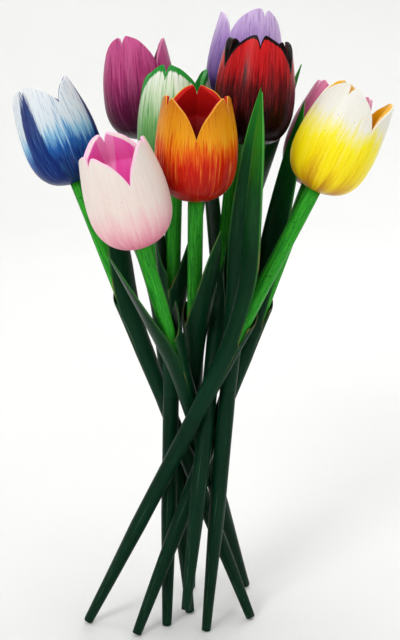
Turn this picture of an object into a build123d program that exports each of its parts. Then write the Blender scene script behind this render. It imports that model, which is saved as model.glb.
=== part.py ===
from build123d import *
import os
from math import cos, radians, sin, sqrt
from typing import NamedTuple

# A bunch of nine carved wooden tulips, in millimetres, +Z up, standing on its feet.
# Each tulip is a turned stem, a hollow carved head glued on the stem's thinner end,
# and two leaves glued round the stem. The bunch is seen from the front, along +Y.

# Stem: the lower part carries the leaves' feet flush on a shoulder
stem_length = 282.0
stem_stagger = 28.2
stem_diameter = 9.6
upper_stem_diameter = 8.8
foot_diameter = 5.6
foot_taper_length = 70.0
upper_stem_length = 134.0
shoulder_height = stem_length - upper_stem_length

# Joint between stem and head
tenon_diameter = 6.0
tenon_length = 12.0
glue_line = 0.05
hole_end_gap = 0.4

# Head: turned outside, cut hollow with six flats, its rim cut into three petals
head_width = 46.0
head_height = 61.0
head_seat_diameter = 11.0
petal_count = 3
hollow_mouth_flats = 29.5
hollow_belly_flats = 36.0
hollow_floor_flats = 13.0
hollow_belly_depth = 18.5
hollow_depth = 39.0
gap_width = 27.0
gap_depth = 18.0
gap_bulge = 2.0
notch_bulge_share = 0.175
notch_width = 4.6
notch_depth = 6.0
notch_bulge = gap_bulge * notch_bulge_share

# Leaf: a sheath round the stem that opens in a V, then a blade that leans out
leaf_length = 176.0
leaf_width = 17.0
leaf_thickness = 1.3
leaf_bend_radius = 170.0
leaf_stagger = 14.8
sheath_length = 30.0
sheath_seam = 0.1

# The bunch: it is held below the heads' level, so longer stems only reach further down
crown_drop = 12.0
waist_drop = 145.0
head_level = stem_length - crown_drop
waist_height = head_level - waist_drop
cut_overrun = 1.0

# Half widths of a leaf as shares of half its greatest width, at shares of its blade's height
LEAF_OUTLINE_SHARES = [(0.69, 0.18), (0.98, 0.42), (0.88, 0.64), (0.50, 0.86), (0.0, 1.0)]

# Outline of the head as shares of its half width and of its height, seat to rim
HEAD_OUTLINE_SHARES = [(0.62, 0.055), (0.88, 0.17), (1.0, 0.40), (0.95, 0.68), (0.78, 1.0)]


class Tulip(NamedTuple):
    """Where one tulip stands in the bunch and how its pieces are turned on its stem."""

    name: str
    waist_shares: tuple  # right and back at the waist, as shares of the stem's diameter
    head_shares: tuple  # right and back at the heads' level, as shares of a head's width
    stagger_share: float  # how far its stem is longer than stem_length, as a share of the stagger
    foot_rise_share: float  # height of its foot over the floor, as a share of the stems' stagger
    petal_turn: float  # degrees from the front to a deep gap, positive to the right
    gap_shares: tuple  # depths of the three deep gaps
    leaf_drop_share: float  # how far its shoulder lies below shoulder_height, of the leaves' stagger
    leaf_turn: float  # degrees that its pair of leaves is turned on the stem
    leaf_leans: tuple  # degrees that the left and the right leaf lean out
    leaf_shares: tuple  # lengths of the left and the right leaf


TULIPS = [
    Tulip(
        "blue", (-1.96, 3.36), (-1.66, 1.13), 0.2, 0, 25, (0.9, 1.1, 1.0), 0, -50, (1, 16), (0.4, 0.8)
    ),
    Tulip(
        "magenta", (-2.02, 5.25), (-0.73, 1.77), 0.55, 0, 35, (1.05, 0.9, 1), 0, -15, (18, 11), (1, 1)
    ),
    Tulip(
        "green", (-1.94, 2.3), (-0.34, 0.88), -0.25, 0, 41, (0.95, 1, 1.05), 0.5, -20, (6, 10), (0.7, 0.7)
    ),
    Tulip(
        "orange", (-0.54, 3.47), (-0.07, 0.0), -0.5, 0, 0, (1.15, 0.9, 1), 1.3, -45, (2, 10), (0.42, 0.72)
    ),
    Tulip(
        "pink", (-0.36, 2.13), (-0.9, -0.66), -0.75, 0, 19, (1, 1.05, 0.95), 1.2, 25, (9, 4), (0.76, 0.5)
    ),
    Tulip(
        "lilac", (0.25, 1.07), (0.41, 1.23), 0.6, 0.8, -30, (1, 0.95, 1), 0, -30, (11, 14.5), (1, 1.04)
    ),
    Tulip(
        "red", (1.42, 1.02), (0.57, 0.48), 0.35, 0, 60, (1, 1, 0.95), 0, 92, (16, 8), (1.02, 0.7)
    ),
    Tulip(
        "yellow", (-0.84, 0.46), (1.39, -0.05), 0.55, 0, 30, (1, 0.95, 1), 0, 35, (27, 1), (1.13, 0.4)
    ),
    Tulip(
        "rose", (0.99, 1.96), (1.44, 1.07), 0.2, 0, 0, (1, 1, 0.95), 0, 55, (13, 1), (1.05, 0.4)
    ),
]


def line_outline(*points):
    """Returns a closed face through points (x, z) in the upright plane through the axis."""
    corners = [Vector(x, 0, z) for x, z in points]
    edges = [Line(a, b) for a, b in zip(corners, corners[1:] + corners[:1])]
    return make_face(edges)


def head_blank():
    """Returns the turned outside of a head, its seat at zero."""
    half_width = head_width / 2
    seat = Vector(head_seat_diameter / 2, 0, 0)
    turned = [Vector(r * half_width, 0, z * head_height) for r, z in HEAD_OUTLINE_SHARES]
    rim = turned[-1]
    outline = [
        Line(Vector(0, 0, 0), seat),
        Spline(seat, *turned),
        Line(rim, Vector(0, 0, head_height)),
        Line(Vector(0, 0, head_height), Vector(0, 0, 0)),
    ]
    return revolve(make_face(outline), Axis.Z)


def hollow_section(flats, height):
    """Returns a polygon of a width across flats, a corner at each petal's gap and notch."""
    side_count = 2 * petal_count
    corner_radius = flats / 2 / cos(radians(180 / side_count))
    return Pos(0, 0, height) * RegularPolygon(corner_radius, side_count, rotation=-90)


def hollow():
    """Returns the six-sided hollow of a head, cut by flat strokes from the rim down."""
    belly = head_height - hollow_belly_depth
    above_rim = head_height + cut_overrun
    widening = (hollow_belly_flats - hollow_mouth_flats) / hollow_belly_depth
    mouth = hollow_mouth_flats - widening * cut_overrun
    belly_section = hollow_section(hollow_belly_flats, belly)
    upper = loft([belly_section, hollow_section(mouth, above_rim)], ruled=True)
    floor = head_height - hollow_depth
    lower = loft([hollow_section(hollow_floor_flats, floor), belly_section], ruled=True)
    return upper + lower


def rim_cut(width, depth, bulge, turn):
    """Returns a V cut in the rim whose sides are rounded out by a bulge, turned from the front."""
    bottom = Vector(0, 0, head_height - depth)
    slant = sqrt((width / 2) ** 2 + depth**2)
    top_height = head_height + cut_overrun
    sides = []
    for side in (-1, 1):
        shoulder = Vector(side * width / 2, 0, head_height)
        middle = (bottom + shoulder) / 2 + Vector(-side * depth, 0, width / 2) * (bulge / slant)
        sides.append(ThreePointArc(bottom, middle, shoulder))
        sides.append(Line(shoulder, Vector(shoulder.X, 0, top_height)))
    lid = Line(Vector(-width / 2, 0, top_height), Vector(width / 2, 0, top_height))
    wedge = extrude(make_face(sides + [lid]), head_width, dir=(0, -1, 0))
    return Rot(0, 0, turn) * wedge


def head(tulip):
    """Returns the carved head of a tulip, its seat at zero."""
    petal_angle = 360 / petal_count
    carved = head_blank() - hollow()
    for index, share in enumerate(tulip.gap_shares):
        turn = index * petal_angle
        carved -= rim_cut(gap_width, gap_depth * share, gap_bulge, turn)
        carved -= rim_cut(notch_width, notch_depth, notch_bulge, turn + petal_angle / 2)
    hole = Cylinder(
        tenon_diameter / 2 + glue_line,
        tenon_length + hole_end_gap,
        align=(Align.CENTER, Align.CENTER, Align.MIN),
    )
    return carved - hole


def stem(length, shoulder):
    """Returns a turned stem, the middle of its foot at zero, its shoulder at a height."""
    foot = foot_diameter / 2
    lower = stem_diameter / 2
    upper = upper_stem_diameter / 2
    tenon = tenon_diameter / 2
    profile = line_outline(
        (0, 0),
        (foot, 0),
        (lower, foot_taper_length),
        (lower, shoulder),
        (upper, shoulder),
        (upper, length),
        (tenon, length),
        (tenon, length + tenon_length),
        (0, length + tenon_length),
    )
    return revolve(profile, Axis.Z)


def leaf_bend(centre, radius, lean):
    """Returns three points on a bend of a leaf, from upright to its full lean."""
    angles = [radians(lean * share) for share in (0, 0.5, 1)]
    return [centre + Vector(-cos(angle), 0, sin(angle)) * radius for angle in angles]


def leaf(lean, length, shoulder):
    """Returns a leaf on the right of its stem's shoulder that leans out by an angle."""
    inner = upper_stem_diameter / 2 + glue_line
    foot_wall = stem_diameter / 2 - inner
    bend_start = shoulder + sheath_length
    centre = Vector(inner + leaf_bend_radius, 0, bend_start)
    inner_bend = leaf_bend(centre, leaf_bend_radius, lean)
    outer_bend = leaf_bend(centre, leaf_bend_radius - leaf_thickness, lean)
    blade_length = length - sheath_length - leaf_bend_radius * radians(lean)
    inner_tip = inner_bend[-1] + Vector(sin(radians(lean)), 0, cos(radians(lean))) * blade_length
    outer_tip = inner_tip + outer_bend[-1] - inner_bend[-1]
    inner_foot = Vector(inner, 0, shoulder)
    outer_foot = Vector(inner + foot_wall, 0, shoulder)
    section = [
        Line(inner_foot, inner_bend[0]),
        ThreePointArc(*inner_bend),
        Line(inner_bend[-1], inner_tip),
        Line(inner_tip, outer_tip),
        Line(outer_tip, outer_bend[-1]),
        ThreePointArc(*reversed(outer_bend)),
        Line(outer_bend[0], outer_foot),
        Line(outer_foot, inner_foot),
    ]
    shell = revolve(make_face(section), Axis.Z)
    return shell & leaf_outline(shoulder, bend_start, outer_tip)


def leaf_outline(shoulder, bend_start, tip):
    """Returns the flat outline of a leaf, as deep as the leaf reaches from its stem."""
    half_sheath = upper_stem_diameter / 2 + glue_line + leaf_thickness
    blade_height = tip.Z - bend_start
    foot_height = shoulder - cut_overrun
    edges = [Line(Vector(0, -half_sheath, foot_height), Vector(0, half_sheath, foot_height))]
    for side in (-1, 1):
        foot = Vector(0, side * half_sheath, foot_height)
        throat = Vector(0, side * half_sheath, bend_start)
        blade = [
            Vector(0, side * width * leaf_width / 2, bend_start + height * blade_height)
            for width, height in LEAF_OUTLINE_SHARES
        ]
        edges.append(Line(foot, throat))
        edges.append(Spline(throat, *blade))
    outline = Pos(sheath_seam / 2, 0, 0) * make_face(edges)
    return extrude(outline, tip.X + cut_overrun, dir=(1, 0, 0))


def stand(tulip):
    """Returns the place of a tulip: the middle of its foot, with +Z up its stem."""
    waist = Vector(*[share * stem_diameter for share in tulip.waist_shares], waist_height)
    crown = Vector(*[share * head_width for share in tulip.head_shares], head_level)
    up = (crown - waist).normalized()
    foot_rise = tulip.foot_rise_share * stem_stagger
    foot_height = foot_rise + foot_diameter / 2 * sqrt(1 - up.Z**2)
    foot = waist + up * ((foot_height - waist_height) / up.Z)
    right = Vector(1, 0, 0) - up * up.X
    return Plane(origin=foot, x_dir=right, z_dir=up).location


def tulip_pieces(tulip):
    """Returns the four pieces of a tulip by name, in its place in the bunch."""
    length = stem_length + stem_stagger * tulip.stagger_share
    left_lean, right_lean = tulip.leaf_leans
    left_length, right_length = [leaf_length * share for share in tulip.leaf_shares]
    shoulder = shoulder_height - leaf_stagger * tulip.leaf_drop_share
    leaves_turn = Rot(0, 0, tulip.leaf_turn)
    place = stand(tulip)
    pieces = {
        "head": Pos(0, 0, length) * Rot(0, 0, tulip.petal_turn) * head(tulip),
        "stem": stem(length, shoulder),
        "leaf_left": leaves_turn * Rot(0, 0, 180) * leaf(left_lean, left_length, shoulder),
        "leaf_right": leaves_turn * leaf(right_lean, right_length, shoulder),
    }
    return {f"{tulip.name}_{piece}": place * shape for piece, shape in pieces.items()}


def bunch():
    """Returns every piece of the bunch by name, centred over the floor."""
    pieces = {}
    for tulip in TULIPS:
        pieces.update(tulip_pieces(tulip))
    box = Compound(children=[Part() + shape for shape in pieces.values()]).bounding_box()
    centred = Pos(-box.center().X, -box.center().Y, 0)
    return {name: centred * shape for name, shape in pieces.items()}


os.makedirs("parts", exist_ok=True)
for name, shape in bunch().items():
    export_step(shape, os.path.join("parts", f"{name}.step"))
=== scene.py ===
import logging
from dataclasses import dataclass, field
from enum import Enum
from math import cos, pi, radians, sin, sqrt
from typing import Any, Dict, List, Sequence, Tuple, Union

import bpy
import numpy as np
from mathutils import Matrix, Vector


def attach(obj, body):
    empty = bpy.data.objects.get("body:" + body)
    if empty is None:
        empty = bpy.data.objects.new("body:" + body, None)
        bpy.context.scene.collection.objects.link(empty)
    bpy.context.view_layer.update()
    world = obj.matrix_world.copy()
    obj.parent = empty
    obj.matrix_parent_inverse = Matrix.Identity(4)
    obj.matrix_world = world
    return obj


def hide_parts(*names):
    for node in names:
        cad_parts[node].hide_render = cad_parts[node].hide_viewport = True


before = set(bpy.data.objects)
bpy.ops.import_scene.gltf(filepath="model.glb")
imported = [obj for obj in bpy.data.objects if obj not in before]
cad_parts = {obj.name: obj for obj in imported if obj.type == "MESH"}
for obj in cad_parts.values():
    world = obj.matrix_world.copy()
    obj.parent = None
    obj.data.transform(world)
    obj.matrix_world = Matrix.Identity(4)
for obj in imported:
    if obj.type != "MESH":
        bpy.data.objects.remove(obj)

# A bunch of nine carved and painted wooden tulips. Each blossom, stem and leaf is a surface of
# two parameters that stands for its solid, in metres, in the tulip's own place in the bunch.

LOG = logging.getLogger("tulips")
# Lengths in metres. HAIR is next to nothing, RING_REACH takes in the ring at a stem's end, and
# points that agree to MERGED_DECIMALS are one.
MM = 0.001
HAIR = 1e-9
RING_REACH = 0.3 * MM
MERGED_DECIMALS = 6
FOCUS_HEIGHT = 0.192
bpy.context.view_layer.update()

Triple = Tuple[float, float, float]
Colour = Tuple[int, int, int]
Floats = Tuple[float, ...]
Window = Tuple[float, float]
Outline = Tuple[Tuple[float, float], ...]
Stops = Tuple[Tuple[float, int, int, int], ...]
Number = Union[int, float, "Wire"]


class Side(Enum):
    """Which face of a blossom's wall a point is on. The rim's points lie between the two."""

    OUTSIDE = 0.0
    INSIDE = 1.0


class Hand(Enum):
    """Which of a tulip's two leaves, with its turn from the right one in degrees."""

    LEFT = 180.0
    RIGHT = 0.0


def linear_light(red: int, green: int, blue: int) -> Triple:
    """Turns a colour as a screen shows it, 0 to 255, into linear light.

    A share up to 0.04045 is divided by 12.92. Above it, 0.055 is added, the sum divided by
    1.055 and the result raised to the power 2.4.

    Args:
        red, green, blue: The three channels, each 0 to 255.

    Returns:
        The three channels in linear light, each 0 to 1.
    """
    share = np.array([red, green, blue]) / 255
    low, high = share / 12.92, ((share + 0.055) / 1.055) ** 2.4
    return tuple(float(c) for c in np.where(share <= 0.04045, low, high))


def smooth_line(points: Sequence[Tuple[float, float]], count: int) -> np.ndarray:
    """Draws a natural cubic spline through points, spaced by the lengths of its chords.

    The second derivatives m solve the usual three-term equations with none at either end, and
    each span is a(1-t) + bt plus the cubic terms of m in t and 1-t.

    Args:
        points: The points (x, y) that the line goes through.
        count: How many points to return.

    Returns:
        An array of count rows of (x, y).
    """
    knots = np.array(points, float)
    chord = np.linalg.norm(np.diff(knots, axis=0), axis=1)
    place = np.concatenate([[0], np.cumsum(chord)])
    size = len(knots)
    matrix = np.eye(size)
    target = np.zeros((size, 2))
    inner = np.arange(1, size - 1)
    matrix[inner, inner - 1] = chord[:-1]
    matrix[inner, inner] = 2 * (chord[:-1] + chord[1:])
    matrix[inner, inner + 1] = chord[1:]
    slope = np.diff(knots, axis=0) / chord[:, None]
    target[1:-1] = 6 * np.diff(slope, axis=0)
    bend = np.linalg.solve(matrix, target)
    along = np.linspace(0, place[-1], count)
    span = np.clip(np.searchsorted(place, along, side="right") - 1, 0, size - 2)
    width = chord[span][:, None]
    t = (along - place[span])[:, None] / width
    cubic = ((t**3 - t) * bend[span + 1] + ((1 - t) ** 3 - (1 - t)) * bend[span]) * width**2 / 6
    return (1 - t) * knots[span] + t * knots[span + 1] + cubic


def grid_cells(rows: int, columns: int) -> np.ndarray:
    """Lists the cells of a grid of points whose last column joins the first.

    Args:
        rows, columns: The grid's size. Point (i, j) has the number i * columns + j.

    Returns:
        Rows of four corner numbers, the order going round from the first row's two.
    """
    column = np.arange(columns)
    beside = (column + 1) % columns
    start = np.arange(rows - 1)[:, None] * columns
    cells = [start + column, start + beside, start + columns + beside, start + columns + column]
    return np.stack(cells, axis=-1).reshape(-1, 4)


def pole_fan(pole: int, start: int, columns: int) -> np.ndarray:
    """Lists the triangles between a pole's number and the ring of points numbered from start."""
    column = np.arange(columns)
    return np.stack([np.full(columns, pole), start + column, start + (column + 1) % columns], -1)


def add_mesh(name: str, corners: np.ndarray, quads: np.ndarray, fans: np.ndarray) -> bpy.types.Object:
    """Adds a smooth mesh object at the origin.

    Args:
        name: Its name.
        corners: Its points.
        quads, fans: Its faces of four and of three corner numbers.

    Returns:
        The object, linked to the scene.
    """
    mesh = bpy.data.meshes.new(name)
    mesh.from_pydata(corners.tolist(), [], quads.tolist() + fans.tolist())
    mesh.shade_smooth()
    mesh.update()
    piece = bpy.data.objects.new(name, mesh)
    bpy.context.scene.collection.objects.link(piece)
    return piece


@dataclass(frozen=True)
class Wave:
    """A slow wave of hand work: waves in a turn, radians a rise, its size and its phase."""

    count: int
    climb: float
    size: float
    phase: float

    @staticmethod
    def total(waves: Sequence["Wave"], turn: Any, rise: Any, seed: float) -> Any:
        """Adds up size times the sine of count turns, climb rises and phase seeds of each wave."""
        return sum(w.size * np.sin(w.count * turn + w.climb * rise + w.phase * seed) for w in waves)


@dataclass(frozen=True)
class Axes:
    """The place of one tulip: the middle of its foot and its three directions."""

    foot: np.ndarray
    right: np.ndarray
    back: np.ndarray
    up: np.ndarray
    length: float

    @classmethod
    def of_stem(cls, node: str, tenon_length: float) -> "Axes":
        """Reads a stem's solid: its lowest and highest rings of points give the axis.

        Args:
            node: The name of the stem's node.
            tenon_length: The length of the thin end above the blossom's seat.

        Returns:
            The tulip's place, with its length from foot to seat.
        """
        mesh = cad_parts[node].data
        points = np.empty(len(mesh.vertices) * 3, np.float32)
        mesh.vertices.foreach_get("co", points)
        points = np.unique(np.round(points.reshape(-1, 3).astype(float), MERGED_DECIMALS), axis=0)
        axis = np.linalg.svd(points - points.mean(0), full_matrices=False)[2][0]
        axis *= np.sign(axis[2])
        along = points @ axis
        foot = points[along < along.min() + RING_REACH].mean(0)
        top = points[along > along.max() - RING_REACH].mean(0)
        length = float(np.linalg.norm(top - foot))
        up = (top - foot) / length
        right = np.array([1.0, 0.0, 0.0]) - up * up[0]
        right /= np.linalg.norm(right)
        return cls(foot, right, np.cross(up, right), up, length - tenon_length)

    def place(self, radius: np.ndarray, turn: np.ndarray, height: np.ndarray) -> np.ndarray:
        """Gives points: the foot, radius times the turn's cosine right and sine back, height up."""
        shares = (radius * np.cos(turn), radius * np.sin(turn), height)
        axes = (self.right, self.back, self.up)
        return self.foot + sum(share[..., None] * axis for share, axis in zip(shares, axes))


@dataclass(frozen=True)
class Tulip:
    """How one tulip is carved and how its leaves stand: angles in degrees, lengths as shares."""

    name: str
    petal_turn: float
    gap_shares: Tuple[float, float, float]
    leaf_rise: float
    leaf_turn: float
    leaf_leans: Tuple[float, float]
    leaf_shares: Tuple[float, float]
    seed: float


TULIPS: List[Tulip] = [
    Tulip("blue", 25, (0.9, 1.1, 1.0), 1, -50, (1, 16), (0.4, 0.8), 1.3),
    Tulip("magenta", 35, (1.05, 0.9, 1), 1, -15, (18, 11), (1, 1), 4.1),
    Tulip("green", 41, (0.95, 1, 1.05), 0.95, -20, (6, 10), (0.7, 0.7), 7.7),
    Tulip("orange", 0, (1.15, 0.9, 1), 0.87, -45, (2, 10), (0.42, 0.72), 2.9),
    Tulip("pink", 19, (1, 1.05, 0.95), 0.88, 25, (9, 4), (0.76, 0.5), 9.2),
    Tulip("lilac", -30, (1, 0.95, 1), 1, -30, (11, 14.5), (1, 1.04), 5.6),
    Tulip("red", 60, (1, 1, 0.95), 1, 92, (16, 8), (1.02, 0.7), 3.4),
    Tulip("yellow", 30, (1, 0.95, 1), 1, 35, (27, 1), (1.13, 0.4), 8.5),
    Tulip("rose", 0, (1, 1, 0.95), 1, 55, (13, 1), (1.05, 0.4), 6.8),
]


@dataclass
class Surface:
    """A closed surface: rows of points round it from one pole to the other."""

    points: np.ndarray
    first_pole: np.ndarray
    last_pole: np.ndarray
    marks: Dict[str, np.ndarray] = field(default_factory=dict)

    def mesh(self, name: str) -> bpy.types.Object:
        """Puts the surface into a mesh object at the origin, its faces outwards.

        Each cell of the grid is a face of four corners, the last column joins the first, and
        each pole is a fan. Six times the enclosed volume is the sum of a . (b x c) over the
        triangles, and where that is below zero every face is turned round.

        Args:
            name: The name of the piece.

        Returns:
            The new object.
        """
        rows, columns = self.points.shape[:2]
        corners = np.concatenate([self.points.reshape(-1, 3), [self.first_pole, self.last_pole]])
        quads = grid_cells(rows, columns)
        first = pole_fan(rows * columns, 0, columns)[:, [0, 2, 1]]
        last = pole_fan(rows * columns + 1, (rows - 1) * columns, columns)
        fans = np.concatenate([first, last])
        thirds = np.concatenate([quads[:, [0, 1, 2]], quads[:, [0, 2, 3]], fans])
        a, b, c = (corners[thirds[:, k]] - corners[0] for k in range(3))
        if np.einsum("ij,ij->", a, np.cross(b, c)) < 0:
            quads, fans = quads[:, ::-1], fans[:, ::-1]
        piece = add_mesh(name, corners, quads, fans)
        for mark, values in self.marks.items():
            poles = [values[0].mean(0), values[-1].mean(0)]
            layer = piece.data.attributes.new(mark, "FLOAT_VECTOR", "POINT")
            filled = np.concatenate([values.reshape(-1, 3), poles]).astype(np.float32)
            layer.data.foreach_set("vector", filled.ravel())
        return piece


@dataclass
class CarvedHead:
    """A blossom: turned egg, hollowed with six flat strokes, its rim cut into petals."""

    width: float = 46.0 * MM
    height: float = 61.0 * MM
    seat_diameter: float = 11.0 * MM
    petal_count: int = 3
    mouth_flats: float = 29.5 * MM
    belly_flats: float = 36.0 * MM
    floor_flats: float = 13.0 * MM
    belly_depth: float = 18.5 * MM
    hollow_depth: float = 39.0 * MM
    gap_width: float = 27.0 * MM
    gap_depth: float = 18.0 * MM
    gap_bulge: float = 2.0 * MM
    notch_width: float = 4.6 * MM
    notch_depth: float = 6.0 * MM
    notch_bulge: float = 0.35 * MM
    hand_wobble: float = 0.22 * MM
    rim_wobble: float = 0.28 * MM
    edge_round: float = 0.35 * MM
    outline: Outline = ((0.62, 0.055), (0.88, 0.17), (1.0, 0.40), (0.95, 0.68), (0.78, 1.0))
    wall_waves: Tuple[Wave, ...] = (
        Wave(2, 3.4, 1.0, 3.3), Wave(3, -5.8, 0.7, 4.3),
        Wave(5, 8.6, 0.45, 6.3), Wave(9, 14.2, 0.25, 10.3),
    )
    wave_level: float = 1.4
    rim_waves: Tuple[Wave, ...] = (Wave(5, 0.0, 1.0, 1.0), Wave(13, 0.0, 0.6, 2.0))
    inner_wobble: float = 0.6
    inner_shift: float = 40.0
    columns_per_half_petal: int = 46
    crowding: float = 0.16
    outer_rows: int = 64
    outer_easing: float = 1.35
    inner_rows: int = 40
    inner_easing: float = 1.25
    rim_places: Floats = (0.1, 0.3, 0.5, 0.7, 0.9)
    rim_dips: Floats = (0.35, 0.05, 0.0, 0.05, 0.35)
    floor_rings: Floats = (0.8, 0.6, 0.4, 0.2)
    profile_points: int = 600
    hollow_points: int = 400
    cut_points: int = 80

    def profile(self) -> np.ndarray:
        """Returns the turned outline as dense points (radius, height), seat to rim."""
        knots = [(self.seat_diameter / 2, 0.0)]
        knots += [(r * self.width / 2, z * self.height) for r, z in self.outline]
        return smooth_line(knots, self.profile_points)

    def cut_line(self, width: float, depth: float, bulge: float) -> Tuple[np.ndarray, np.ndarray]:
        """Draws half of a V cut: a chord from its bottom to its shoulder, bowed into the gap.

        Args:
            width, depth: The cut's width and depth at the rim.
            bulge: How far the chord bows, greatest at its middle as 4t(1-t).

        Returns:
            Sideways distances from the cut's middle, and the heights of the petal there.
        """
        t = np.linspace(0, 1, self.cut_points)
        slant = sqrt((width / 2) ** 2 + depth**2)
        bow = 4 * t * (1 - t) * bulge / slant
        return t * width / 2 - bow * depth, self.height - depth + t * depth + bow * width / 2

    def petal_limit(self, tulip: Tulip, angle: np.ndarray, radius: np.ndarray) -> np.ndarray:
        """Gives the height that the rim cuts leave at each point of a wall.

        Args:
            tulip: The tulip, for its three gap depths.
            angle: Degrees round the head from the first deep gap.
            radius: Distances from the axis, of the same shape.

        Returns:
            The greatest height left there: the lowest of the cuts, or the full height.
        """
        limit = np.full(np.broadcast(angle, radius).shape, self.height)
        petal = 360 / self.petal_count
        for index, share in enumerate(tulip.gap_shares):
            sizes = [
                (index * petal, self.gap_width, self.gap_depth * share, self.gap_bulge),
                ((index + 0.5) * petal, self.notch_width, self.notch_depth, self.notch_bulge),
            ]
            for turn, width, depth, bulge in sizes:
                sideways, heights = self.cut_line(width, depth, bulge)
                away = np.radians(angle - turn)
                across = np.abs(radius * np.sin(away))
                cut = np.interp(across, sideways, heights, right=self.height)
                limit = np.where(np.cos(away) > 0, np.minimum(limit, cut), limit)
        wave = Wave.total(self.rim_waves, np.radians(angle), 0.0, tulip.seed)
        return limit + self.rim_wobble * wave

    def rim_share(
        self, tulip: Tulip, angle: np.ndarray, radii: np.ndarray, heights: np.ndarray
    ) -> np.ndarray:
        """Finds where a wall line first meets the rim cuts.

        Args:
            tulip: The tulip.
            angle: The columns' angles.
            radii: The wall's radius at each height and column.
            heights: The rising heights, one for each row.

        Returns:
            For each column, the height where the wall meets the rim.
        """
        room = self.petal_limit(tulip, angle[None, :], radii) - heights[:, None]
        room[-1] = np.minimum(room[-1], -HAIR)
        row, column = np.argmax(room < 0, axis=0), np.arange(len(angle))
        before = np.maximum(row - 1, 0)
        above, below = room[row, column], room[before, column]
        part = below / np.maximum(below - above, HAIR)
        return heights[before] * (1 - part) + heights[row] * part

    def hollow_radius(self, angle: np.ndarray, height: np.ndarray) -> np.ndarray:
        """Gives the hollow's radius: the flats' half width over the cosine from their middle.

        Args:
            angle: Degrees round the head.
            height: Heights over the seat.

        Returns:
            The radius at each.
        """
        floor, belly = self.height - self.hollow_depth, self.height - self.belly_depth
        flats = np.interp(
            height, [floor, belly, self.height], [self.floor_flats, self.belly_flats, self.mouth_flats]
        )
        flat_angle = 180 / self.petal_count
        from_middle = np.mod(angle, flat_angle) - flat_angle / 2
        return flats / 2 / np.cos(np.radians(from_middle))

    def wobble(self, tulip: Tulip, angle: np.ndarray, height: np.ndarray) -> np.ndarray:
        """Gives the unevenness of hand work, which grows from nothing at the seat to the rim."""
        rise = height / self.height
        wave = Wave.total(self.wall_waves, np.radians(angle), rise, tulip.seed) / self.wave_level
        return wave * self.hand_wobble * np.sin(np.clip(rise, 0, 1) * pi / 2)

    def surface(self, tulip: Tulip, axes: Axes) -> Surface:
        """Works out a head's whole skin, seat to rim, over the rim and down the hollow.

        Outside, row s of column u is the turned outline at s times its length up to the rim.
        The rim's rows go straight across the wall with their edges rounded, and inside, row s
        goes down the hollow's wall to its floor.

        Args:
            tulip: The tulip.
            axes: Its place.

        Returns:
            The closed surface with the marks that the paint reads.
        """
        half_petal = 180 / self.petal_count
        step = np.linspace(0, 1, self.columns_per_half_petal, endpoint=False)
        eased = step + self.crowding * np.sin(2 * pi * step) / pi
        angle = np.concatenate([(k + eased) * half_petal for k in range(2 * self.petal_count)])
        profile = self.profile()
        radii, heights = profile[:, 0], profile[:, 1]
        outer_top = self.rim_share(tulip, angle, np.repeat(radii[:, None], len(angle), 1), heights)
        floor = self.height - self.hollow_depth
        rise = np.linspace(floor, self.height, self.hollow_points)
        hollow = self.hollow_radius(angle[None, :], rise[:, None])
        inner_top = self.rim_share(tulip, angle, hollow, rise)

        share = 1 - (1 - np.linspace(0, 1, self.outer_rows)) ** self.outer_easing
        limit = np.interp(outer_top - self.edge_round, heights, np.linspace(0, 1, len(heights)))
        place = share[:, None] * limit[None, :] * (len(heights) - 1)
        outer_r = np.interp(place, np.arange(len(heights)), radii)
        outer_z = np.interp(place, np.arange(len(heights)), heights)
        outer_r = outer_r + self.wobble(tulip, angle[None, :], outer_z)

        across = np.array(self.rim_places)[:, None]
        dip = self.edge_round * np.array(self.rim_dips)[:, None]
        inner_rim = self.hollow_radius(angle, inner_top)
        rim_r = outer_r[-1] * (1 - across) + inner_rim * across
        rim_z = outer_top * (1 - across) + inner_top * across - dip

        down = np.linspace(0, 1, self.inner_rows)[:, None] ** self.inner_easing
        wall_z = (inner_top - self.edge_round) * (1 - down) + floor * down
        wall_r = self.hollow_radius(angle[None, :], wall_z)
        unevenness = self.wobble(tulip, angle[None, :] + self.inner_shift, wall_z)
        wall_r = wall_r + self.inner_wobble * unevenness * (1 - down)
        base_r = wall_r[-1:] * np.array(self.floor_rings)[:, None]
        base_z = np.full_like(base_r, floor)

        r = np.concatenate([outer_r, rim_r, wall_r, base_r])
        z = np.concatenate([outer_z, rim_z, wall_z, base_z])
        turned = np.radians(angle + tulip.petal_turn - 90)
        points = axes.place(r, turned, z + axes.length)
        sides = [Side.OUTSIDE.value] * len(outer_r) + list(self.rim_places)
        sides += [Side.INSIDE.value] * (len(wall_r) + len(base_r))
        side = np.repeat(np.array(sides)[:, None], len(angle), 1)
        top = np.where(side < 1, outer_top[None, :], inner_top[None, :])
        grain = np.radians(angle)[None, :] + 0 * r
        notch = np.cos(self.petal_count * (grain - radians(half_petal)))
        marks = {
            "paint_place": np.stack([z / self.height, (top - z) / self.height, side], -1),
            "petal_place": np.stack([np.cos(grain), np.sin(grain), notch], -1),
        }
        poles = [axes.foot + axes.up * (axes.length + level) for level in (0.0, floor)]
        return Surface(points, poles[0], poles[1], marks)


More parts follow.
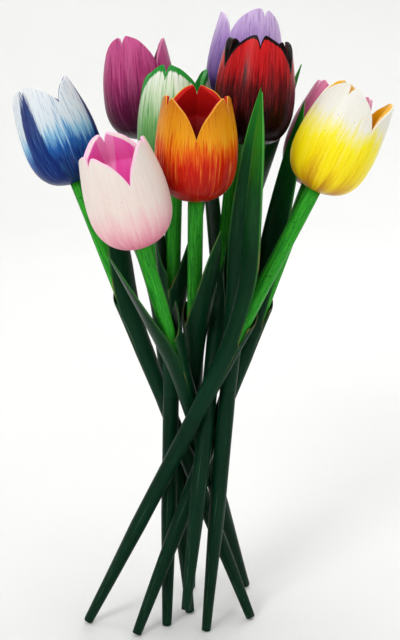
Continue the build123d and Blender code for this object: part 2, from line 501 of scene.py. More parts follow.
@dataclass
class TurnedStem:
    """A stem: thin at its foot, thick below the leaves, a little thinner above them."""

    diameter: float = 9.6 * MM
    upper_diameter: float = 8.8 * MM
    foot_diameter: float = 5.6 * MM
    foot_taper: float = 70.0 * MM
    shoulder: float = 148.0 * MM
    tenon_diameter: float = 6.0 * MM
    tenon_length: float = 12.0 * MM
    edge_round: float = 0.4 * MM
    hand_wobble: float = 0.09 * MM
    calm_reach: float = 12.0 * MM
    waves: Tuple[Wave, ...] = (Wave(2, 40.0, 1.0, 1.0), Wave(3, -75.0, 0.6, 2.0))
    columns: int = 56
    rows_between: int = 26

    def surface(self, tulip: Tulip, axes: Axes) -> Surface:
        """Works out a stem: a profile of radius over height, turned once round.

        Straight runs join the named sizes, each cut into short rows, and a slow wave round and
        up the stem adds the unevenness of hand sanding, calm where the leaves sit flush.

        Args:
            tulip: The tulip.
            axes: Its place.

        Returns:
            The closed surface with its marks.
        """
        length, soft = axes.length, self.edge_round
        foot, lower, upper = self.foot_diameter / 2, self.diameter / 2, self.upper_diameter / 2
        tenon, shoulder = self.tenon_diameter / 2, self.shoulder * tulip.leaf_rise
        knots = [
            (foot - soft, 0.0), (foot - soft / 3, soft / 3), (foot, soft), (lower, self.foot_taper),
            (lower, shoulder - soft / 2), (lower, shoulder), (upper, shoulder + soft), (upper, length),
            (tenon, length + soft / 9), (tenon, length + self.tenon_length),
        ]
        pieces: List[np.ndarray] = []
        for (r0, z0), (r1, z1) in zip(knots, knots[1:]):
            count = self.rows_between if z1 - z0 > self.tenon_length else 2
            t = np.linspace(0, 1, count, endpoint=False)[:, None]
            pieces.append(np.hstack([r0 + (r1 - r0) * t, z0 + (z1 - z0) * t]))
        profile = np.vstack(pieces + [np.array([knots[-1]])])
        turn = np.linspace(0, 2 * pi, self.columns, endpoint=False)[None, :]
        r, z = profile[:, :1] + 0 * turn, profile[:, 1:] + 0 * turn
        wave = Wave.total(self.waves, turn, z, tulip.seed)
        calm = np.clip(np.abs(z - shoulder) / self.calm_reach, 0, 1)
        r = r + self.hand_wobble * wave * calm * ((z > soft) & (z < length))
        points = axes.place(r, turn, z)
        marks = {"stem_place": np.stack([np.cos(turn) + 0 * z, np.sin(turn) + 0 * z, z / shoulder], -1)}
        ends = [axes.foot, axes.foot + axes.up * (length + self.tenon_length)]
        return Surface(points, ends[0], ends[1], marks)


@dataclass
class SheathLeaf:
    """A leaf: half a tube round the stem that opens in a V into a curved blade."""

    length: float = 176.0 * MM
    width: float = 17.0 * MM
    thickness: float = 1.3 * MM
    bend_radius: float = 170.0 * MM
    sheath: float = 30.0 * MM
    seam: float = 0.1 * MM
    fit: float = 0.05 * MM
    tip_curl: float = 1.1 * MM
    first_row: float = 0.15 * MM
    tip_thinning: float = 0.45
    edge_thinning: float = 0.55
    edge_power: int = 6
    edge_start: float = 0.125
    outline: Outline = ((0.69, 0.18), (0.98, 0.42), (0.88, 0.64), (0.50, 0.86), (0.0, 1.0))
    drawn_blade: float = 100.0 * MM
    outline_points: int = 500
    rows: int = 150
    easing: float = 1.25
    half_columns: int = 22
    crowding: float = 0.98

    def half_width(self, height_share: np.ndarray) -> np.ndarray:
        """Gives the blade's half width, which follows a spline through the outline.

        Args:
            height_share: Shares of the blade's height.

        Returns:
            The half width at each.
        """
        throat = TurnedStem().upper_diameter / 2 + self.fit + self.thickness
        knots = [(throat, 0.0)]
        knots += [(w * self.width / 2, h * self.drawn_blade) for w, h in self.outline]
        line = smooth_line(knots, self.outline_points)
        order = np.maximum.accumulate(line[:, 1]) / self.drawn_blade
        return np.interp(np.clip(height_share, 0, 1), order, np.maximum(line[:, 0], 0))

    def surface(self, tulip: Tulip, axes: Axes, hand: Hand, stem: TurnedStem) -> Surface:
        """Works out a leaf as a flat tube: rows along it, columns round its thin section.

        The inner line goes up the stem, round a bend and straight on at its lean. At each
        height the section is an arc about the stem's axis as wide as the outline, its outer
        face one thickness out, thinner to its edges and tip.

        Args:
            tulip: The tulip, for the leaf's turn, lean and length.
            axes: Its place.
            hand: The left or the right leaf.
            stem: The stem that it sheathes.

        Returns:
            The closed surface with its marks.
        """
        index = 0 if hand is Hand.LEFT else 1
        lean = radians(tulip.leaf_leans[index])
        length = self.length * tulip.leaf_shares[index]
        inner = stem.upper_diameter / 2 + self.fit
        foot_wall = stem.diameter / 2 - inner
        shoulder = stem.shoulder * tulip.leaf_rise
        t = np.linspace(0, 1, self.rows)[:, None]
        s = (1 - (1 - t) ** self.easing) * length
        s[1] = self.first_row
        bent = np.clip(s - self.sheath, 0, self.bend_radius * lean)
        turn = bent / self.bend_radius
        run = np.maximum(s - self.sheath - self.bend_radius * lean, 0)
        radius = inner + self.bend_radius * (1 - np.cos(turn)) + run * sin(lean)
        height = shoulder + np.minimum(s, self.sheath)
        height = height + self.bend_radius * np.sin(turn) + run * cos(lean)
        throat = shoulder + self.sheath
        blade = np.clip((height - throat) / (height[-1] - throat), 0, 1)
        half = np.where(s <= self.sheath, 1.0, self.half_width(blade))
        radius = radius + self.tip_curl * blade**3
        wall = np.where(
            s < self.sheath, foot_wall + (self.thickness - foot_wall) * s / self.sheath, self.thickness
        )
        wall = wall * (1 - self.tip_thinning * blade**2)

        column = np.linspace(-1, 1, self.half_columns + 1)[None, :]
        crowd = pi / 2 * self.crowding
        eased = np.sin(column * crowd) / sin(crowd)
        lateral = np.concatenate([eased, eased[:, -2:0:-1]], axis=1)
        outer = (np.arange(2 * self.half_columns) <= self.half_columns).astype(float)[None, :]
        widest = np.arcsin(np.clip(half / radius, 0, 1))
        gap = self.seam / 2 / radius
        around = lateral * np.where(s <= self.sheath, pi / 2 - gap, np.minimum(widest, pi / 2 - gap))
        edge = self.edge_thinning * np.abs(lateral) ** self.edge_power
        edge = 1 - edge * np.clip(blade / self.edge_start, 0, 1)
        depth = outer * wall * edge
        out_r = radius + depth * np.cos(turn)
        out_z = height - depth * np.sin(turn) + 0 * lateral
        direction = around + radians(tulip.leaf_turn + hand.value)
        points = axes.place(out_r, direction, out_z)
        along = s / self.length + 0 * lateral
        marks = {"leaf_place": np.stack([lateral + 0 * s, along, outer + 0 * s], -1)}
        return Surface(points, points[0].mean(0), points[-1].mean(0), marks)


class Wire:
    """A value in a material's nodes. Python operators on it add Math nodes."""

    def __init__(self, bench: "Bench", socket: bpy.types.NodeSocket) -> None:
        """Keeps the bench and the socket that gives the value."""
        self.bench = bench
        self.socket = socket

    def _maths(self, operation: str, *values: Number) -> "Wire":
        """Adds one Math node and returns its value."""
        node = self.bench.add("ShaderNodeMath", {"operation": operation}, dict(enumerate(values)))
        return Wire(self.bench, node.outputs[0])

    def __add__(self, other: Number) -> "Wire":
        """Adds."""
        return self._maths("ADD", self, other)

    __radd__ = __add__

    def __sub__(self, other: Number) -> "Wire":
        """Subtracts."""
        return self._maths("SUBTRACT", self, other)

    def __rsub__(self, other: Number) -> "Wire":
        """Subtracts from a number."""
        return self._maths("SUBTRACT", other, self)

    def __mul__(self, other: Number) -> "Wire":
        """Multiplies."""
        return self._maths("MULTIPLY", self, other)

    __rmul__ = __mul__

    def __abs__(self) -> "Wire":
        """Drops the sign."""
        return self._maths("ABSOLUTE", self)

    def swing(self, size: float) -> "Wire":
        """Returns a noise as a push both ways: what it differs from one half, times a size."""
        return (self - 0.5) * size

    def blend(self, other: "Wire", share: float) -> "Wire":
        """Returns this value with a share of another in its place."""
        return self * (1 - share) + other * share

    def ramp_up(self, window: Window) -> "Wire":
        """Goes smoothly from 0 at the window's low end to 1 at its high end."""
        ends = {"Value": self, "From Min": window[0], "From Max": window[1]}
        node = self.bench.add("ShaderNodeMapRange", {"interpolation_type": "SMOOTHSTEP"}, ends)
        return Wire(self.bench, node.outputs["Result"])


class Bench:
    """One material's node tree, and the ways that its nodes are added."""

    def __init__(self, name: str) -> None:
        """Makes an empty material of that name."""
        self.material = bpy.data.materials.new(name)
        self.material.use_nodes = True
        self.tree = self.material.node_tree
        self.tree.nodes.clear()

    def add(self, kind: str, settings: Dict[str, Any], inputs: Dict[Any, Any]) -> bpy.types.Node:
        """Adds a node.

        Args:
            kind: The node's type.
            settings: Its settings, set first. "stops" fills a ramp with places and colours.
            inputs: Values, colours or links of its sockets, by name or number.

        Returns:
            The node.
        """
        node = self.tree.nodes.new(kind)
        for key, value in settings.items():
            if key == "stops":
                ramp = node.color_ramp.elements
                while len(ramp) < len(value):
                    ramp.new(1.0)
                for element, (place, *colour) in zip(ramp, value):
                    element.position = place
                    element.color = (*linear_light(*colour), 1.0)
            else:
                setattr(node, key, value)
        for key, value in inputs.items():
            socket = node.inputs[key]
            if isinstance(value, Wire):
                self.tree.links.new(value.socket, socket)
            elif isinstance(value, bpy.types.NodeSocket):
                self.tree.links.new(value, socket)
            elif isinstance(value, tuple) and len(value) == 3 and socket.type == "RGBA":
                socket.default_value = (*linear_light(*value), 1.0)
            else:
                socket.default_value = value
        return node

    def marks(self, name: str) -> List[Wire]:
        """Returns the three values that a surface's mark holds."""
        source = self.add("ShaderNodeAttribute", {"attribute_name": name}, {})
        parts = self.add("ShaderNodeSeparateXYZ", {}, {0: source.outputs["Vector"]})
        return [Wire(self, parts.outputs[k]) for k in range(3)]

    def noise(self, values: Sequence[Wire], detail: float, roughness: float) -> Wire:
        """Returns noise, about one half, at a place made of three values."""
        place = self.add("ShaderNodeCombineXYZ", {}, dict(enumerate(values)))
        sizes = {"Vector": place.outputs[0], "Scale": 1.0, "Detail": detail, "Roughness": roughness}
        node = self.add("ShaderNodeTexNoise", {}, sizes)
        return Wire(self, node.outputs[0])

    def object_noise(self, scale: float, detail: float = 3.0) -> Wire:
        """Returns noise over Object coordinates."""
        place = self.add("ShaderNodeTexCoord", {}, {})
        sizes = {"Vector": place.outputs["Object"], "Scale": scale, "Detail": detail}
        return Wire(self, self.add("ShaderNodeTexNoise", {}, sizes).outputs[0])

    def specks(self, scale: float, window: Window, strength: float) -> Wire:
        """Returns how far small worn spots hide the paint below them."""
        return self.object_noise(scale, detail=1.0).ramp_up(window) * strength

    def ramp(self, value: Wire, colours: Stops) -> bpy.types.NodeSocket:
        """Returns the colour of a ramp at a value."""
        return self.add("ShaderNodeValToRGB", {"stops": colours}, {0: value}).outputs[0]

    def mix(self, share: Number, first: Any, second: Any) -> bpy.types.NodeSocket:
        """Returns first where share is 0 and second where it is 1."""
        node = self.add("ShaderNodeMix", {"data_type": "RGBA"}, {0: share, 6: first, 7: second})
        return node.outputs[2]

    def finish(
        self, colour: Any, roughness: Number, bump: Wire, lift: float, **extras: Number
    ) -> bpy.types.Material:
        """Adds the shader and the output.

        Args:
            colour: The base colour.
            roughness: The roughness.
            bump: The height for the bump, 0 to 1.
            lift: What a height of 1 stands for, in metres.
            extras: Values or links of the shader's other sockets, with _ for a space.

        Returns:
            The finished material.
        """
        relief = self.add("ShaderNodeBump", {}, {"Strength": 1.0, "Distance": lift, "Height": bump})
        inputs = {"Base Color": colour, "Roughness": roughness, "Normal": relief.outputs[0]}
        inputs.update({key.replace("_", " "): value for key, value in extras.items()})
        shader = self.add("ShaderNodeBsdfPrincipled", {}, inputs)
        self.add("ShaderNodeOutputMaterial", {}, {0: shader.outputs[0]})
        return self.material


@dataclass(frozen=True)
class Brush:
    """A noise drawn out into strokes: how fine it is along the three values of its place."""

    pitch: Triple
    detail: float
    roughness: float

    def on(self, bench: Bench, marks: Sequence[Wire], moves: Triple = (0.0, 0.0, 0.0)) -> Wire:
        """Adds the noise at three values, each times its pitch and moved on."""
        finer = [mark * pitch for mark, pitch in zip(marks, self.pitch)]
        place = [value + move if move else value for value, move in zip(finer, moves)]
        return bench.noise(place, self.detail, self.roughness)


@dataclass(frozen=True)
class Layer:
    """A layer of brushwork: the second noise's share in it, where it sets in, how strongly."""

    share: float
    window: Window
    strength: float = 1.0

    def cover(self, first: Wire, second: Wire) -> Wire:
        """Returns how far the layer hides the paint below, from the blend of two noises."""
        return first.blend(second, self.share).ramp_up(self.window) * self.strength


@dataclass(frozen=True)
class Varnish:
    """How much the strokes and bristles change the roughness, and how deep they lie."""

    stroke_swing: float
    bristle_swing: float
    bristle_share: float
    lift: float

    def lay(
        self, bench: Bench, colour: Any, level: Number, strokes: Wire, bristles: Wire, **extras: Number
    ) -> bpy.types.Material:
        """Finishes a material, its roughness about a level. The extras are as in Bench.finish."""
        roughness = level + strokes.swing(self.stroke_swing) + bristles.swing(self.bristle_swing)
        relief = strokes.blend(bristles, self.bristle_share)
        return bench.finish(colour, roughness, relief, self.lift, **extras)


DARK_GREEN = (5, 46, 27)
DARK_GREEN_SHADE = (1, 22, 13)
# The pale green of the painted highlight lines on the stems.
HIGHLIGHT_GREEN = (110, 158, 124)
BARE_WOOD = (166, 122, 78)
DIRT = (70, 50, 30)
GREEN_GLOSS = 0.34
GREEN_SHINE = {"Specular_IOR_Level": 0.08}

HEAD_STROKES = Brush((13, 13, 2.4), 3.0, 0.7)
HEAD_BRISTLES = Brush((32, 32, 3.6), 2.0, 0.65)
HEAD_TONGUES = Brush((3.1, 3.1, 1.1), 2.0, 0.5)
HEAD_STREAKS = Layer(0.5, (0.50, 0.64))
HEAD_FURROWS = Layer(0.55, (0.38, 0.49))
BAND_GLINTS = Layer(0.6, (0.52, 0.66), 0.5)
# Noise patches in the painted highlight on the hollow's flats.
LINING_HIGHLIGHT_PATCHES = Layer(0.2, (0.52, 0.60), 0.2)
HEAD_SPECKS = (900.0, (0.74, 0.78), 0.4)
HEAD_VARNISH = Varnish(0.22, 0.14, 0.55, 0.22 * MM)

STEM_STROKES = Brush((5, 5, 7), 4.0, 0.65)
STEM_BRISTLES = Brush((16, 16, 15), 2.0, 0.6)
STEM_HIGHLIGHT_LINES = Brush((9, 9, 2.5), 2.0, 0.5)
STEM_TONE = Layer(0.4, (0.36, 0.62))
STEM_WEAR = Layer(0.5, (0.64, 0.72))
STEM_SPECKS = (620.0, (0.66, 0.72), 0.6)
STEM_VARNISH = Varnish(0.25, 0.15, 0.6, 0.18 * MM)

LEAF_STROKES = Brush((7, 6, 3), 4.0, 0.65)
LEAF_BRISTLES = Brush((26, 11, 5), 2.0, 0.6)
LEAF_STREAKS = Layer(0.5, (0.52, 0.75), 0.22)
LEAF_FURROWS = Layer(0.6, (0.34, 0.50))
LEAF_WEAR = Layer(0.5, (0.55, 0.62), 0.8)
LEAF_VARNISH = Varnish(0.25, 0.15, 0.5, 0.18 * MM)


@dataclass(frozen=True)
class HeadPaint:
    """How a blossom is painted, seat to rim, outside and inside.

    Heights and reaches are shares of the blossom's height, reaches down from the rim. A swing
    is how far a noise moves what it acts on, and a window is where a ramp goes from 0 to 1.
    The hollow's colours grow darker toward its floor as painted shade, and the facet highlight
    is painted highlight on the hollow's flats near the notches.
    """

    outside: Stops
    # The hollow's colours by height, darker toward its floor as painted shade.
    inside: Stops
    edge: Colour
    stroke_colour: Colour
    shade_colour: Colour
    stroke_reach: float
    stroke_contrast: float
    shade: float
    edge_reach: float = 0.012
    rim_share: float = 0.95
    tongue_reach: float = 0.06
    band: float = 0.0
    band_colour: Colour = (0, 0, 0)
    # How strongly the painted highlight shows on the hollow's flats.
    facet_highlight: float = 0.16
    gloss: float = 0.30
    coat: float = 0.02
    specular: float = 0.16
    seat_streaks: float = 0.25
    seat_window: Window = (0.10, 0.45)
    band_level: float = 0.95
    band_spread: float = 0.55
    band_swing: float = 0.6
    band_window: Window = (-0.05, 0.07)
    lining_swing: float = 0.12
    facet_highlight_spread: float = 1.1
    facet_highlight_window: Window = (0.52, 0.60)
    rim_softness: float = 0.12
    edge_strokes: float = 0.8
    edge_bristles: float = 0.6
    edge_solid: float = 0.75
    lining_dullness: float = 0.2
    coat_roughness: float = 0.16

    def material(self, name: str, seed: float) -> bpy.types.Material:
        """Builds the paint: brushed strokes along the petals under a satin varnish.

        Noises stretched along the petals shift the ramp's place, so colours run into each
        other in strokes. A band under each small notch, the hollow's colours, darker toward its
        floor as painted shade, with paler patches near the notches as painted highlight, the
        line along the rim and worn specks are laid over it.

        Args:
            name: The material's name.
            seed: Moves the noises, so that no two heads are alike.

        Returns:
            The material.
        """
        bench = Bench(name)
        height, reach, side = bench.marks("paint_place")
        across, deep, notch = bench.marks("petal_place")
        place = (across, deep, height)
        strokes = HEAD_STROKES.on(bench, place, (seed, 0.0, 0.0))
        bristles = HEAD_BRISTLES.on(bench, place, (0.0, seed, 0.0))
        tongues = HEAD_TONGUES.on(bench, place, (seed * 2, 0.0, 0.0))

        shift = strokes.swing(self.stroke_reach * 2) + bristles.swing(self.stroke_reach)
        coat = bench.ramp(height + shift + tongues.swing(self.tongue_reach * 2), self.outside)
        fading = height.ramp_up(self.seat_window) * (1 - self.seat_streaks) + self.seat_streaks
        streak = HEAD_STREAKS.cover(strokes, bristles) * self.stroke_contrast * fading
        coat = bench.mix(streak, coat, self.stroke_colour)
        furrow = (1 - HEAD_FURROWS.cover(strokes, bristles)) * self.shade
        coat = bench.mix(furrow, coat, self.shade_colour)
        if self.band > 0:
            spread = notch - self.band_level + (1 - height) * self.band_spread
            line = (spread + strokes.swing(self.band_swing)).ramp_up(self.band_window) * self.band
            glint = BAND_GLINTS.cover(strokes, bristles)
            coat = bench.mix(line, coat, bench.mix(glint, self.band_colour, self.shade_colour))

        # Painted shade: the hollow's colours grow darker toward its floor, over the lining's own
        # colour.
        lining_with_painted_light = bench.ramp(height + strokes.swing(self.lining_swing), self.inside)
        # Painted highlight: paler patches in the edge colour on the hollow's flats near the notches.
        facet_highlight = (abs(notch) - (1 - height) * self.facet_highlight_spread).ramp_up(self.facet_highlight_window)
        highlight_patch = (facet_highlight + LINING_HIGHLIGHT_PATCHES.cover(tongues, strokes)) * self.facet_highlight
        lining_with_painted_light = bench.mix(highlight_patch, lining_with_painted_light, self.edge)
        inside = side.ramp_up((self.rim_share - self.rim_softness, self.rim_share))
        coat = bench.mix(inside, coat, lining_with_painted_light)

        wave = strokes.swing(self.edge_strokes) + bristles.swing(self.edge_bristles)
        line_end = (self.edge_reach * self.edge_solid, self.edge_reach)
        rim = 1 - (reach + wave * self.edge_reach).ramp_up(line_end)
        coat = bench.mix(rim * (1 - inside), coat, self.edge)
        coat = bench.mix(bench.specks(*HEAD_SPECKS), coat, DIRT)
        level = self.gloss + inside * self.lining_dullness
        shine = {"Specular_IOR_Level": self.specular, "Coat_Roughness": self.coat_roughness}
        shine["Coat_Weight"] = (1 - inside) * self.coat
        return HEAD_VARNISH.lay(bench, coat, level, strokes, bristles, **shine)


@dataclass(frozen=True)
class StemPaint:
    """Bright green between the leaves, near black green below them, with painted highlight lines."""

    bright: Colour = (58, 172, 42)
    bright_shade: Colour = (22, 116, 32)
    change: float = 1.03
    change_softness: float = 0.01
    dark_contrast: float = 0.55
    dark_level: float = 0.4
    highlight_window: Window = (0.66, 0.71)
    highlight_gaps: Window = (0.44, 0.54)
    highlight_strength: float = 0.5
    foot_window: Window = (0.006, 0.05)
    patch_scale: float = 38.0

    def material(self, name: str) -> bpy.types.Material:
        """Builds the stems' paint: long strokes, painted highlight lines, worn thin here and there at
        the foot.

        Args:
            name: The material's name.

        Returns:
            The material.
        """
        bench = Bench(name)
        place = bench.marks("stem_place")
        along, soft = place[2], self.change_softness
        strokes, bristles = STEM_STROKES.on(bench, place), STEM_BRISTLES.on(bench, place)
        highlight_lines = STEM_HIGHLIGHT_LINES.on(bench, place)
        patches = bench.object_noise(self.patch_scale)
        tone = STEM_TONE.cover(strokes, bristles)
        bright = bench.mix(tone, self.bright_shade, self.bright)
        bright = bench.mix(bench.specks(*STEM_SPECKS), bright, DARK_GREEN_SHADE)
        dark = bench.mix(tone * self.dark_contrast + self.dark_level, DARK_GREEN_SHADE, DARK_GREEN)
        # Painted highlight: thin broken pale lines along the dark part of the stem.
        glint = highlight_lines.ramp_up(self.highlight_window) * bristles.ramp_up(self.highlight_gaps)
        dark = bench.mix(glint * self.highlight_strength, dark, HIGHLIGHT_GREEN)
        upper = (along + patches.swing(soft)).ramp_up((self.change - soft, self.change + soft))
        coat = bench.mix(upper, dark, bright)
        worn = STEM_WEAR.cover(bristles, patches) * (1 - along.ramp_up(self.foot_window))
        coat = bench.mix(worn, coat, BARE_WOOD)
        return STEM_VARNISH.lay(bench, coat, GREEN_GLOSS, strokes, bristles, **GREEN_SHINE)


@dataclass(frozen=True)
class LeafPaint:
    """Green at the tips, darker down to the sheath, lit borders of painted highlight, bare wood along
    the worn edges.
    """

    colours: Stops = ((0.10, *DARK_GREEN), (0.50, 6, 44, 22), (0.70, 10, 68, 25), (0.85, 30, 120, 28))
    # The lit green of the lighter streaks and of the painted highlight along the borders.
    lit: Colour = (96, 190, 84)
    length_share: float = 0.85
    stroke_swing: float = 0.22
    patch_swing: float = 0.16
    furrow_shade: float = 0.35
    highlight_border_swing: float = 0.06
    highlight_border_window: Window = (0.84, 0.94)
    highlight_border_strength: float = 0.55
    edge_swing: float = 0.04
    edge_window: Window = (0.93, 0.975)
    sheath_window: Window = (0.16, 0.24)
    patch_scale: float = 30.0

    def material(self, name: str) -> bpy.types.Material:
        """Builds the leaves' paint: colours along the leaf, lit borders and worn edges.

        Args:
            name: The material's name.

        Returns:
            The material.
        """
        bench = Bench(name)
        place = bench.marks("leaf_place")
        sideways, along = abs(place[0]), place[1]
        strokes, bristles = LEAF_STROKES.on(bench, place), LEAF_BRISTLES.on(bench, place)
        patches = bench.object_noise(self.patch_scale)
        shift = strokes.swing(self.stroke_swing) + patches.swing(self.patch_swing)
        coat = bench.ramp(along * self.length_share + shift, self.colours)
        coat = bench.mix(LEAF_STREAKS.cover(strokes, bristles) * along, coat, self.lit)
        furrow = (1 - LEAF_FURROWS.cover(strokes, bristles)) * self.furrow_shade
        coat = bench.mix(furrow, coat, DARK_GREEN_SHADE)
        # Painted highlight: a band of the lit green along both borders, stronger toward the tip.
        highlight_border = (sideways + bristles.swing(self.highlight_border_swing)).ramp_up(self.highlight_border_window)
        coat = bench.mix(highlight_border * along * along * self.highlight_border_strength, coat, self.lit)
        edge = (sideways + bristles.swing(self.edge_swing)).ramp_up(self.edge_window)
        worn = LEAF_WEAR.cover(patches, bristles) * edge * along.ramp_up(self.sheath_window)
        coat = bench.mix(worn, coat, BARE_WOOD)
        return LEAF_VARNISH.lay(bench, coat, GREEN_GLOSS, strokes, bristles, **GREEN_SHINE)


# In each row the second stops are the hollow's colours, darker toward its floor as painted shade.
HEAD_PAINTS: Dict[str, HeadPaint] = {
    "blue": HeadPaint(
        (
            (0.00, 6, 26, 76), (0.22, 10, 42, 112), (0.34, 24, 88, 164), (0.46, 130, 184, 216),
            (0.58, 206, 220, 228), (1.0, 234, 236, 238),
        ),
        ((0.35, 6, 16, 56), (0.95, 20, 50, 126)),
        (226, 232, 238), (190, 214, 236), (60, 116, 176), 0.20, 0.22, 0.50,
        rim_share=0.5, tongue_reach=0.05, band=0.96, band_colour=(8, 36, 106), specular=0.08,
    ),
    "magenta": HeadPaint(
        ((0.0, 40, 8, 28), (0.26, 90, 20, 56), (0.58, 164, 50, 106), (1.0, 206, 92, 148)),
        ((0.35, 60, 6, 30), (0.95, 132, 30, 76)),
        (206, 116, 158), (220, 130, 172), (96, 22, 64), 0.18, 0.24, 0.50,
        coat=0.0, specular=0.07,
    ),
    "green": HeadPaint(
        (
            (0.0, 26, 90, 36), (0.24, 64, 130, 56), (0.50, 120, 172, 102), (0.76, 200, 220, 184),
            (0.94, 232, 236, 226),
        ),
        ((0.35, 10, 70, 24), (0.95, 34, 138, 46)),
        (34, 140, 48), (236, 240, 232), (84, 150, 76), 0.24, 0.20, 0.66,
        edge_reach=0.075,
    ),
    "orange": HeadPaint(
        (
            (0.0, 112, 8, 6), (0.20, 168, 12, 6), (0.43, 202, 28, 6), (0.55, 226, 88, 6),
            (0.68, 232, 150, 18), (0.82, 220, 140, 8), (1.0, 196, 106, 6),
        ),
        ((0.35, 90, 6, 6), (0.62, 140, 10, 12), (0.95, 200, 24, 22)),
        (244, 178, 60), (255, 212, 88), (170, 36, 6), 0.24, 0.20, 0.50,
        rim_share=0.30, facet_highlight=0.0, gloss=0.24, coat=0.05, specular=0.09,
    ),
    "pink": HeadPaint(
        (
            (0.0, 210, 96, 128), (0.16, 228, 146, 164), (0.32, 236, 192, 194), (0.50, 234, 216, 208),
            (1.0, 232, 222, 214),
        ),
        ((0.35, 216, 60, 154), (0.72, 246, 92, 190), (0.98, 250, 120, 204)),
        (252, 204, 230), (244, 234, 228), (220, 160, 168), 0.14, 0.12, 0.12,
        facet_highlight=0.50, gloss=0.34,
    ),
    "lilac": HeadPaint(
        ((0.0, 34, 20, 70), (0.30, 86, 62, 132), (0.62, 156, 122, 188), (0.94, 212, 184, 228)),
        ((0.35, 34, 18, 58), (0.95, 78, 52, 118)),
        (206, 180, 224), (200, 170, 220), (92, 66, 138), 0.16, 0.20, 0.42,
    ),
    "red": HeadPaint(
        ((0.0, 6, 3, 4), (0.30, 20, 4, 6), (0.52, 84, 8, 12), (0.70, 170, 18, 22), (1.0, 208, 30, 33)),
        ((0.35, 6, 4, 5), (0.95, 22, 14, 15)),
        (16, 11, 12), (216, 60, 60), (60, 6, 9), 0.30, 0.12, 0.50,
        edge_reach=0.045, gloss=0.24, coat=0.04, specular=0.06,
    ),
    "yellow": HeadPaint(
        (
            (0.0, 190, 128, 4), (0.10, 224, 180, 4), (0.24, 246, 220, 6), (0.50, 250, 234, 20),
            (0.62, 244, 234, 130), (0.74, 236, 234, 222), (1.0, 234, 232, 226),
        ),
        ((0.35, 200, 112, 4), (0.95, 244, 182, 18)),
        (244, 240, 224), (250, 244, 214), (222, 176, 6), 0.16, 0.10, 0.16,
        rim_share=0.35, tongue_reach=0.24,
    ),
    "rose": HeadPaint(
        ((0.0, 140, 30, 76), (0.40, 198, 72, 122), (1.0, 230, 134, 172)),
        ((0.35, 160, 40, 90), (0.95, 220, 100, 150)),
        (240, 180, 204), (244, 180, 204), (160, 44, 94), 0.16, 0.16, 0.35,
    ),
}


@dataclass(frozen=True)
class Lamp:
    """A square soft lamp: where it hangs, its side in metres, its watts and what it faces."""

    name: str
    place: Triple
    size: float
    power: float
    target: Triple = (0.0, 0.0, FOCUS_HEIGHT)

    def hang(self) -> None:
        """Adds the lamp to the scene."""
        data = bpy.data.lights.new(self.name, "AREA")
        data.shape, data.size, data.energy = "SQUARE", self.size, self.power
        lamp = bpy.data.objects.new(self.name, data)
        bpy.context.scene.collection.objects.link(lamp)
        lamp.location = self.place
        lamp.rotation_mode = "QUATERNION"
        aim = Vector(self.target) - Vector(self.place)
        lamp.rotation_quaternion = aim.to_track_quat("-Z", "Y")


LAMPS: List[Lamp] = [
    Lamp("key", (-0.9, -1.5, 1.3), 0.6, 14.0),
    Lamp("fill", (1.4, -1.3, 0.8), 1.2, 4.0),
    Lamp("back", (0.5, 1.6, 1.6), 1.2, 8.0),
    Lamp("top", (0.0, 0.0, 2.2), 1.6, 9.5),
    Lamp("backdrop", (0.0, 0.6, 2.6), 1.2, 15.0, (0.0, 2.6, 1.0)),
]


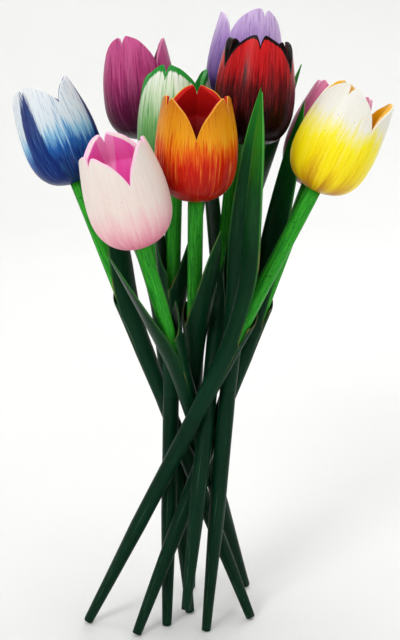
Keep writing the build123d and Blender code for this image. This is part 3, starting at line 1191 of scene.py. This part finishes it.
@dataclass
class Studio:
    """The pale round room, its soft lamps and the camera, in metres."""

    floor_radius: float = 2.6
    first_ring: float = 0.05
    cove_radius: float = 0.9
    wall_height: float = 3.0
    columns: int = 128
    floor_rows: int = 12
    cove_rows: int = 16
    grain_scale: float = 6.0
    floor_roughness: float = 0.8
    floor_lift: float = 0.1 * MM
    sky_strength: float = 0.34
    pitch: float = 12.0
    distance: float = 0.72
    focus_from_foot: Tuple[float, float] = (0.0686, -0.0094)
    focal_pixels: float = 1252.0
    long_side_pixels: float = 640.0
    sensor: float = 36.0
    clip: Window = (0.05, 20.0)

    def room(self) -> None:
        """Makes the floor and wall: a line that goes out, up a quarter circle, and up."""
        turn = np.linspace(0, 2 * pi, self.columns, endpoint=False)[None, :]
        flat = np.linspace(self.first_ring, 1, self.floor_rows) * (self.floor_radius - self.cove_radius)
        bend = np.linspace(0, pi / 2, self.cove_rows)[1:]
        r = np.concatenate([flat, flat[-1] + self.cove_radius * np.sin(bend), [self.floor_radius]])
        z = np.concatenate([0 * flat, self.cove_radius * (1 - np.cos(bend)), [self.wall_height]])
        r, z = r[:, None], z[:, None]
        grid = np.stack([r * np.cos(turn), r * np.sin(turn), z + 0 * turn], -1)
        corners = np.concatenate([grid.reshape(-1, 3), [[0, 0, 0]]])
        inwards = grid_cells(len(r), self.columns)[:, [0, 3, 2, 1]]
        room = add_mesh("room", corners, inwards, pole_fan(len(corners) - 1, 0, self.columns))
        bench = Bench("pale_floor")
        grain = bench.object_noise(self.grain_scale)
        colour = bench.mix(grain, (244, 244, 243), (248, 248, 247))
        pale = bench.finish(colour, self.floor_roughness, grain, self.floor_lift)
        room.data.materials.append(pale)

    def lights(self) -> None:
        """Sets the sky and hangs the lamps."""
        world = bpy.data.worlds.new("sky")
        world.use_nodes = True
        sky = world.node_tree.nodes["Background"].inputs
        sky["Color"].default_value = (1.0, 1.0, 1.0, 1.0)
        sky["Strength"].default_value = self.sky_strength
        bpy.context.scene.world = world
        bpy.context.scene.view_settings.view_transform = "Standard"
        for lamp in LAMPS:
            lamp.hang()

    def camera(self, reference_foot: np.ndarray) -> None:
        """Sets the camera at the photograph's place.

        Args:
            reference_foot: The yellow tulip's foot, from which the camera's aim is measured.
        """
        data = bpy.data.cameras.new("camera")
        data.sensor_width = self.sensor
        data.lens = self.focal_pixels * self.sensor / self.long_side_pixels
        data.clip_start, data.clip_end = self.clip
        camera = bpy.data.objects.new("camera", data)
        bpy.context.scene.collection.objects.link(camera)
        forward = Vector((0.0, cos(radians(self.pitch)), -sin(radians(self.pitch))))
        dx, dy = self.focus_from_foot
        focus = Vector((reference_foot[0] + dx, reference_foot[1] + dy, FOCUS_HEIGHT))
        camera.location = focus - forward * self.distance
        camera.rotation_mode = "QUATERNION"
        camera.rotation_quaternion = forward.to_track_quat("-Z", "Y")
        bpy.context.scene.camera = camera


@dataclass
class Bunch:
    """The nine tulips, built in order."""

    head: CarvedHead = field(default_factory=CarvedHead)
    stem: TurnedStem = field(default_factory=TurnedStem)
    leaf: SheathLeaf = field(default_factory=SheathLeaf)

    def dress(self, surface: Surface, node: str, material: bpy.types.Material) -> None:
        """Makes one piece of a surface and puts it in its solid's place.

        Args:
            surface: The worked-out surface.
            node: The solid that it stands for.
            material: The finish.
        """
        piece = surface.mesh(f"{node}_carved")
        piece.data.materials.append(material)
        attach(piece, "root")
        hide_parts(node)
        LOG.info("%s: %d faces", piece.name, len(piece.data.polygons))

    def build(self) -> None:
        """Builds every tulip's blossom, stem and two leaves."""
        green = StemPaint().material("stem_green_paint")
        leaves = LeafPaint().material("leaf_green_paint")
        for tulip in TULIPS:
            axes = Axes.of_stem(f"{tulip.name}_stem", self.stem.tenon_length)
            name = tulip.name
            paint = HEAD_PAINTS[name].material(f"{name}_petals", tulip.seed)
            self.dress(self.head.surface(tulip, axes), f"{name}_head", paint)
            self.dress(self.stem.surface(tulip, axes), f"{name}_stem", green)
            for hand in Hand:
                leaf = self.leaf.surface(tulip, axes, hand, self.stem)
                self.dress(leaf, f"{name}_leaf_{hand.name.lower()}", leaves)


def main() -> None:
    """Builds the studio and the bunch."""
    logging.basicConfig(level=logging.INFO, format="%(name)s %(message)s")
    bunch = Bunch()
    studio = Studio()
    studio.camera(Axes.of_stem("yellow_stem", bunch.stem.tenon_length).foot)
    studio.room()
    studio.lights()
    bunch.build()


if __name__ == "__main__":
    main()
